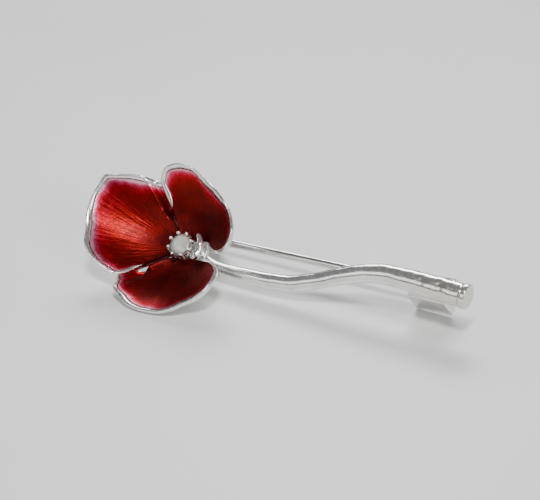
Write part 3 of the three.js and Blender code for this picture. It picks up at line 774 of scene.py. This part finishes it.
# Beyond the end of the axis, as (distance past it, radius): the groove and the end disc.
STEM_TAIL = [(0.03, 1.34), (0.06, 1.24), (0.12, 1.2), (0.20, 1.2), (0.24, 1.26), (0.26, 1.40), (0.31, 1.45),
             (0.45, 1.46), (0.76, 1.46), (0.83, 1.44), (0.87, 1.38), (0.88, 1.1), (0.885, 0.7), (0.89, 0.3)]
# Three shallow hammer marks near the tail, as (x, depth), and the angle round the stem that they face.
HAMMER_MARKS = [(27.2, 0.02), (29.3, 0.06), (31.6, 0.07)]
HAMMER_ANGLE = 70
HAMMER_WIDTH = 0.42


def build_stem():
    """The S-curved stem: hand-drawn wire, thicker to the tail, with a groove before its cut end."""
    plan = centripetal(STEM_AXIS, STEM_STEPS, False)
    path = np.column_stack([plan, np.zeros(len(plan))])
    xs, values = zip(*STEM_RADIUS)
    radii = np.interp(path[:, 0], xs, values)
    kernel = np.hanning(21) / np.hanning(21).sum()
    radii = np.convolve(np.pad(radii, 10, mode="edge"), kernel, mode="valid")
    radii[:8] *= np.sqrt(np.linspace(0.08, 1, 8))
    along = (path[-1] - path[-2]) / np.linalg.norm(path[-1] - path[-2])
    path = np.vstack([path, [path[-1] + along * reach for reach, _ in STEM_TAIL]])
    radii = np.concatenate([radii, [radius for _, radius in STEM_TAIL]])
    rings = tube(path, radii, STEM_SIDES)
    turn = np.arange(STEM_SIDES) * 2 * math.pi / STEM_SIDES
    for k, ring in enumerate(rings[:STEM_STEPS]):
        x = path[k, 0]
        fade = min(1, max(0, (x + 1) / 3))
        uneven = 0.009 * np.sin(1.9 * x + 2 * turn) + 0.005 * np.sin(3.7 * x - 3 * turn + 1)
        for place, depth in HAMMER_MARKS:
            facing = np.maximum(0, np.cos(turn - math.radians(HAMMER_ANGLE))) ** 2
            uneven = uneven - depth * math.exp(-((x - place) / HAMMER_WIDTH) ** 2) * facing
        ring += (ring - path[k]) * (uneven * fade)[:, None]
    obj = facing_out(new_object("stem_wire", *skin(rings, path[0] - (0.04, 0, 0), path[-1])))
    finish_piece(obj, "brooch", ["stem"], STEM_SILVER, sharp=45)


# ---------------------------------------------------------------- hinge and needle

def build_bracket():
    source = frame["nodes"]["hinge_bracket"]
    obj = new_object("hinge_bracket_silver", [], [])
    obj.data = source.data.copy()
    obj.data.transform(BROOCH.inverted())
    finish_piece(rounded(obj, 0.07, 3), "brooch", ["hinge_bracket"], BACK_SILVER, sharp=35)


def build_rivet():
    shank = EYE_WIDTH / 2 + FIT + EAR_THICKNESS + FIT
    dome = [(RIVET_HEAD_RADIUS * math.cos(t), shank + 0.04 + (RIVET_HEAD_THICKNESS - 0.04) * math.sin(t))
            for t in np.linspace(0, math.pi / 2, 9)]
    half = [(RIVET_RADIUS, shank), (RIVET_HEAD_RADIUS - 0.03, shank)] + dome[:-1]
    profile = [(0, -dome[-1][1])] + [(r, -z) for r, z in reversed(half)] + half + [(0, dome[-1][1])]
    rivet = lathe("hinge_rivet_domed", profile, 48)
    place = Matrix.Translation((0, HINGE_Y, NEEDLE_Z)) @ Matrix.Rotation(math.pi / 2, 4, "X")
    finish_piece(rivet, "brooch", ["hinge_rivet"], BACK_SILVER, place, sharp=35)


def build_needle():
    """The wire, drawn to a long point, with a flattened eye round the rivet."""
    xs = np.concatenate([np.linspace(0.75, 3.2, 10), np.linspace(3.6, NEEDLE_LENGTH - NEEDLE_TAPER, 24),
                         NEEDLE_LENGTH - NEEDLE_TAPER * (1 - np.linspace(0.02, 1, 30))])
    taper = np.clip((xs - NEEDLE_LENGTH + NEEDLE_TAPER) / NEEDLE_TAPER, 0, 1) ** 1.3
    radii = NEEDLE_RADIUS + (NEEDLE_TIP_RADIUS - NEEDLE_RADIUS) * taper
    path = np.column_stack([xs, np.zeros_like(xs), np.zeros_like(xs)])
    rings = tube(path, radii, 28)
    for x, ring in zip(xs, rings):
        ring[:, 2] *= 1 + 0.45 * float(smoothstep(-x, -2.6, -0.8))
    wire = facing_out(new_object("pin_needle_wire", *skin(rings, path[0], path[-1] + (0.05, 0, 0))))
    wire.data.transform(Matrix.Rotation(NEEDLE_LEAN, 4, "Z"))
    to_y = Matrix.Rotation(math.pi / 2, 4, "Z")
    eye = rounded(prism("eye", arc(EYE_RADIUS, 0, 2 * math.pi, 73)[:-1], EYE_WIDTH, to_y), 0.10, 3)
    hole = prism("hole", arc(RIVET_RADIUS + FIT, 0, 2 * math.pi, 49)[:-1], 2 * EYE_WIDTH, to_y)
    combine(wire, eye, "UNION")
    combine(wire, hole, "DIFFERENCE")
    place = Matrix.Translation((0, HINGE_Y, NEEDLE_Z))
    finish_piece(wire, "needle", ["pin_needle"], WIRE, place, sharp=45)


# ---------------------------------------------------------------- catch

def catch_place():
    lean = Matrix.Rotation(NEEDLE_LEAN, 4, "Z")
    return Matrix.Translation((0, HINGE_Y, NEEDLE_Z)) @ lean @ Matrix.Translation((CATCH_X, 0, 0))


def box_outline(y0, z0, y1, z1):
    return [(y0, z0), (y1, z0), (y1, z1), (y0, z1)]


def build_catch_base():
    """Two open cheeks on a web, under a saddle plate that is soldered to the stem's back.

    Small differences in length and place keep the joined solids' faces from coinciding.
    """
    inner, outer = ROLLER_RADIUS + FIT, CHEEK_RADIUS
    back = -math.pi / 2
    outer_gap, inner_gap = math.asin(CATCH_MOUTH / 2 / outer), math.asin(CATCH_MOUTH / 2 / inner)
    cheek = arc(outer, back + outer_gap, back - outer_gap + 2 * math.pi, 61)
    cheek += arc(inner, back - inner_gap + 2 * math.pi, back + inner_gap, 55)
    web = box_outline(WEB_FAR_Y, WEB_END_Z, WEB_FAR_Y + WEB_THICKNESS, SADDLE_Z)
    saddle = box_outline(WEB_FAR_Y + 0.01, SADDLE_Z - SADDLE_THICKNESS, SADDLE_NEAR_Y, SADDLE_Z - 0.003)
    base = rounded(prism("catch_base_silver", web, CATCH_LENGTH), 0.08)
    combine(base, rounded(prism("saddle", saddle, CATCH_LENGTH - 0.004), 0.08), "UNION")
    lug = box_outline(WEB_FAR_Y + WEB_THICKNESS / 2, -LUG_HALF_HEIGHT, -ROLLER_RADIUS - 0.1, LUG_HALF_HEIGHT)
    for end in (-1, 1):
        shift = Matrix.Translation((end * (CATCH_LENGTH - CHEEK_LENGTH - 0.01) / 2, 0, 0))
        combine(base, rounded(prism("lug", lug, CHEEK_LENGTH - 0.02, shift), 0.05), "UNION")
        combine(base, rounded(prism("cheek", cheek, CHEEK_LENGTH, shift), 0.06), "UNION")
    finish_piece(cleaned(base), "brooch", ["catch_base"], SILVER, catch_place(), sharp=35)


def build_roller():
    """The slotted roller that turns to lock the needle in, with its thumb tab."""
    outline = arc(ROLLER_RADIUS, 0, 2 * math.pi, 97)[:-1]
    barrel = prism("catch_roller_silver", outline, CATCH_LENGTH - ROLLER_END_PLAY)
    half = TAB_THICKNESS / 2
    tab = [(ROLLER_RADIUS - TAB_ROOT, -half)]
    tab += arc(half, -math.pi / 2, math.pi / 2, 19, (TAB_REACH - half, 0))
    tab.append((ROLLER_RADIUS - TAB_ROOT, half))
    combine(barrel, prism("tab", tab, TAB_LENGTH, Matrix.Rotation(-TAB_TILT, 4, "X")), "UNION")
    slot = [(ROLLER_SLOT / 2, -3), *arc(ROLLER_SLOT / 2, 0, math.pi, 25), (-ROLLER_SLOT / 2, -3)]
    combine(barrel, prism("slot", slot, 2 * CATCH_LENGTH), "DIFFERENCE")
    rounded(barrel, 0.05, 3)
    finish_piece(barrel, "roller", ["catch_roller"], SILVER, catch_place(), sharp=35)


# ---------------------------------------------------------------- stage, light and camera

CAMERA_AZIMUTH = 25
CAMERA_ELEVATION = 28
CAMERA_LENS = 135
CAMERA_DISTANCE = 0.232
FLOOR_REACH = 4.0
FLOOR_STEPS = 16


def around(azimuth, elevation):
    a, e = math.radians(azimuth), math.radians(elevation)
    return Vector((math.sin(a) * math.cos(e), -math.cos(a) * math.cos(e), math.sin(e)))


def build_floor():
    grid = np.linspace(-FLOOR_REACH, FLOOR_REACH, FLOOR_STEPS + 1)
    points = [(x, y, 0) for y in grid for x in grid]
    row = FLOOR_STEPS + 1
    corners = [r * row + c for r in range(FLOOR_STEPS) for c in range(FLOOR_STEPS)]
    faces = [(i, i + 1, i + row + 1, i + row) for i in corners]
    floor = new_object("floor", points, faces)
    store_where(floor.data, 1000)
    floor.data.materials.append(pale_floor())


def softbox(name, direction, distance, size, power, target):
    light = bpy.data.lights.new(name, "AREA")
    light.shape = "ELLIPSE"
    light.size, light.size_y = size
    light.energy = power
    obj = bpy.data.objects.new(name, light)
    bpy.context.scene.collection.objects.link(obj)
    direction = Vector(direction).normalized()
    obj.location = target + direction * distance
    obj.rotation_euler = (-direction).to_track_quat("-Z", "Y").to_euler()


# Each light as (name, direction, distance in metres, width and height in metres, watts).
SOFTBOXES = [
    ("top_softbox", (0.16, -0.40, 0.90), 0.50, (0.11, 0.11), 1.7),
    ("rear_softbox", (-0.30, 0.80, 0.60), 0.50, (0.34, 0.14), 1.5),
    ("front_softbox", (0.80, -0.46, 0.50), 0.55, (0.24, 0.24), 0.9),
    ("stem_softbox", (-0.38, -0.80, 0.44), 0.50, (0.40, 0.22), 0.36),
    ("left_fill", (-0.95, 0.20, 0.30), 0.60, (0.30, 0.20), 0.6),
]
WORLD_COLOUR = (0.80, 0.82, 0.85, 1)
WORLD_STRENGTH = 0.26


def build_lights(target):
    for settings in SOFTBOXES:
        softbox(*settings, target)
    world = bpy.data.worlds.new("studio")
    bpy.context.scene.world = world
    world.use_nodes = True
    background = world.node_tree.nodes["Background"]
    background.inputs["Color"].default_value = WORLD_COLOUR
    background.inputs["Strength"].default_value = WORLD_STRENGTH


def build_camera(target):
    camera = bpy.data.cameras.new("camera")
    camera.lens = CAMERA_LENS
    camera.clip_start, camera.clip_end = 0.01, 10
    obj = bpy.data.objects.new("camera", camera)
    bpy.context.scene.collection.objects.link(obj)
    back = around(CAMERA_AZIMUTH, CAMERA_ELEVATION)
    obj.location = target + back * CAMERA_DISTANCE
    obj.rotation_euler = back.to_track_quat("Z", "Y").to_euler()
    bpy.context.scene.camera = obj


low, high = cad_box
centre = (low + high) / 2
build_floor()
build_lights(centre)
build_camera(centre)
for petal_side, petal_shape in PETALS.items():
    build_petal(petal_side, petal_shape)
    build_enamel(petal_side, petal_shape)
build_back_plate()
build_stone()
build_collet()
for claw_index in range(CLAW_COUNT):
    build_claw(claw_index)
build_collar()
build_stem()
build_bracket()
build_rivet()
build_needle()
build_catch_base()
build_roller()
